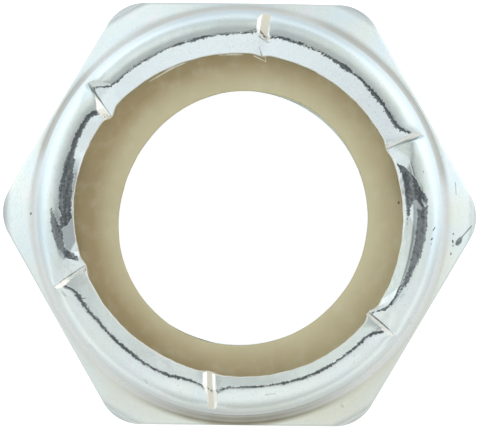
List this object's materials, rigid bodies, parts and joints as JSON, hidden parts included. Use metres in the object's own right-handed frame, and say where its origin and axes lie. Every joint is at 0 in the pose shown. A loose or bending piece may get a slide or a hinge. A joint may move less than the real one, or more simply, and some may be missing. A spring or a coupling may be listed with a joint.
{
  "type": "nylon insert lock nut",
  "caption": "Hexagon lock nut with a crimped collar that holds a nylon ring, which grips the thread of a bolt or stud.",
  "frame": {"origin": "centre of the bearing face, the flat face of the hexagon away from the collar", "axes": "+Z along the bore axis from the bearing face to the crimped collar; two opposite corners of the hexagon on the X axis and two opposite flats square to the Y axis"},
  "size_m": [0.0322, 0.0286, 0.0222],
  "materials": {
    "zinc_steel": "bright zinc plating on cold-formed steel, lightly scuffed",
    "nylon": "natural nylon, slightly translucent, aged cream"
  },
  "bodies": {
    "root": {"nut_body": "zinc_steel", "nylon_insert": "nylon"}
  },
  "joints": []
}
